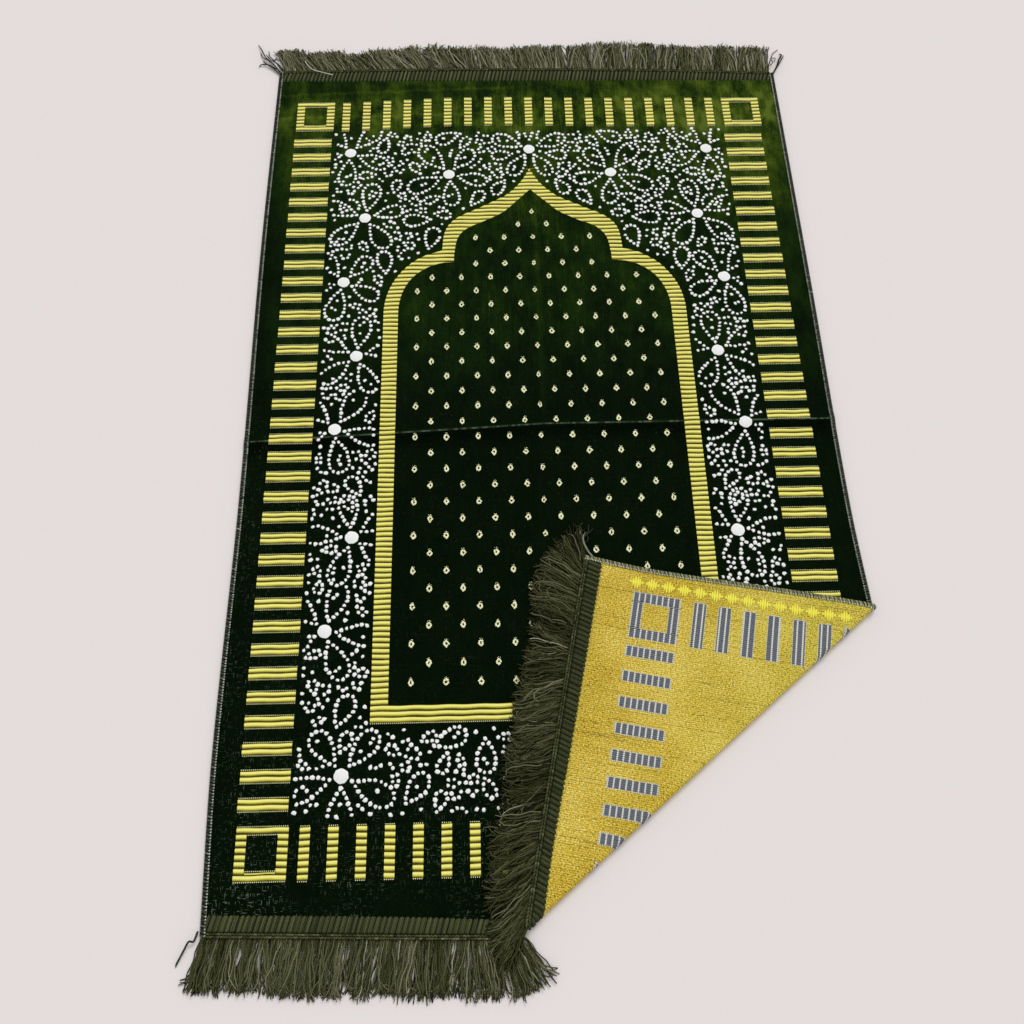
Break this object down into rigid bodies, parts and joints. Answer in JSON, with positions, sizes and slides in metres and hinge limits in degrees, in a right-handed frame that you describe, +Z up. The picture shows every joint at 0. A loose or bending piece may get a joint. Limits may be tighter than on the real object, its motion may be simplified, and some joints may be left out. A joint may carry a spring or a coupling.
{
  "type": "prayer rug",
  "caption": "Rectangular velvet prayer mat with a woven niche figure, a sewn band and fringe at each end, lying flat with one corner folded over.",
  "frame": {"origin": "on the floor, under the middle of the rug's bounding box as it lies with its corner folded over", "axes": "+X across the rug, towards the side whose corner is folded over; +Y along the rug, towards the point of the niche; +Z up, the way the pile faces"},
  "size_m": [0.7128, 1.2285, 0.01],
  "materials": {
    "velvet": "dark green cut pile with gold and white figures, gold twill back",
    "heading_tape": "olive green corded tape",
    "fringe_yarn": "olive grey twisted yarn",
    "edge_thread": "grey, black and white overcast thread"
  },
  "bodies": {
    "root": {"rug_cloth": "velvet", "top_band": "heading_tape", "bottom_band": "heading_tape", "top_fringe": "fringe_yarn", "bottom_fringe": "fringe_yarn", "left_binding": "edge_thread", "right_binding": "edge_thread"}
  },
  "joints": []
}
